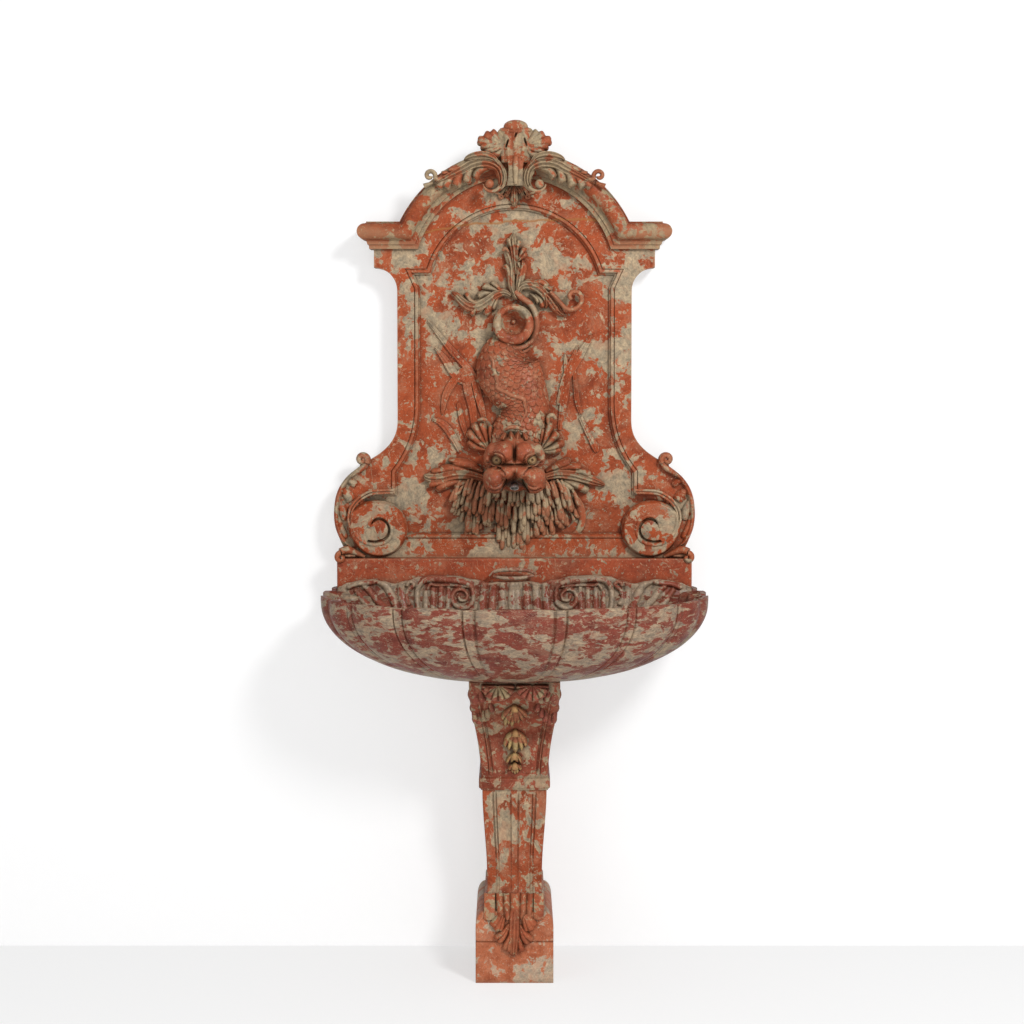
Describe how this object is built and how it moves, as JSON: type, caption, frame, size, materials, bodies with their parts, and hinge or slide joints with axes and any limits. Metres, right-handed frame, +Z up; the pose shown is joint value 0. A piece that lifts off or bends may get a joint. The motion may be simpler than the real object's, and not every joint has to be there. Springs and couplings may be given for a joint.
{
  "type": "wall fountain",
  "caption": "Carved marble wall fountain: arched back panel with a dolphin mask spout above a shell basin on a tapering console foot.",
  "frame": {"origin": "on the floor, under the middle of the fountain's bounding box", "axes": "+Z up, -Y out of the front, the wall is the plane y = +0.25 m"},
  "size_m": [0.8992, 0.5, 1.9995],
  "materials": {
    "red_marble": "honed red breccia marble with grey and cream patches",
    "basin_marble": "polished deep red breccia marble with cream bands",
    "carved_marble": "worn carved red breccia marble with ochre patina",
    "steel": "plain",
    "brass": "aged",
    "grey_pipe": "dull grey",
    "rubber": "matt black"
  },
  "bodies": {
    "root": {"arched_cornice": "red_marble", "back_panel": "red_marble", "base_block": "red_marble", "base_dowel": "steel", "basin": "basin_marble", "basin_back_carving": "basin_marble", "basin_dowel_left": "steel", "basin_dowel_right": "steel", "beard": "carved_marble", "bellflower_drop": "carved_marble", "console_capital": "carved_marble", "console_leaf_left": "carved_marble", "console_leaf_right": "carved_marble", "cornice_dowel": "steel", "crest_drop": "carved_marble", "crest_scroll_left": "carved_marble", "crest_scroll_right": "carved_marble", "crest_shell": "carved_marble", "dolphin_body": "carved_marble", "dolphin_head": "carved_marble", "fin_left": "carved_marble", "fin_right": "carved_marble", "foot_acanthus": "carved_marble", "head_dowel": "steel", "panel_cramp_left": "steel", "panel_cramp_right": "steel", "panel_dowel_left": "steel", "panel_dowel_right": "steel", "pedestal_console": "red_marble", "pedestal_shaft": "red_marble", "plinth_slab": "red_marble", "reeds_left": "red_marble", "reeds_right": "red_marble", "shaft_dowel": "steel", "spout_pipe": "grey_pipe", "supply_pipe": "grey_pipe", "supply_union_nut": "brass", "tail_coil": "carved_marble", "tail_frond_left": "carved_marble", "tail_frond_right": "carved_marble", "tail_plume": "carved_marble", "volute_left": "red_marble", "volute_right": "red_marble", "waste_flange": "brass", "waste_locknut": "brass", "waste_pipe": "grey_pipe", "waste_washer": "rubber", "wing_leaf_left": "carved_marble", "wing_leaf_right": "carved_marble"},
    "standpipe": {"overflow_standpipe": "brass"}
  },
  "joints": [
    {"name": "standpipe_lift", "type": "slide", "parent": "root", "child": "standpipe", "axis": [0, 0, 1], "range_m": [0, 0.17]}
  ]
}
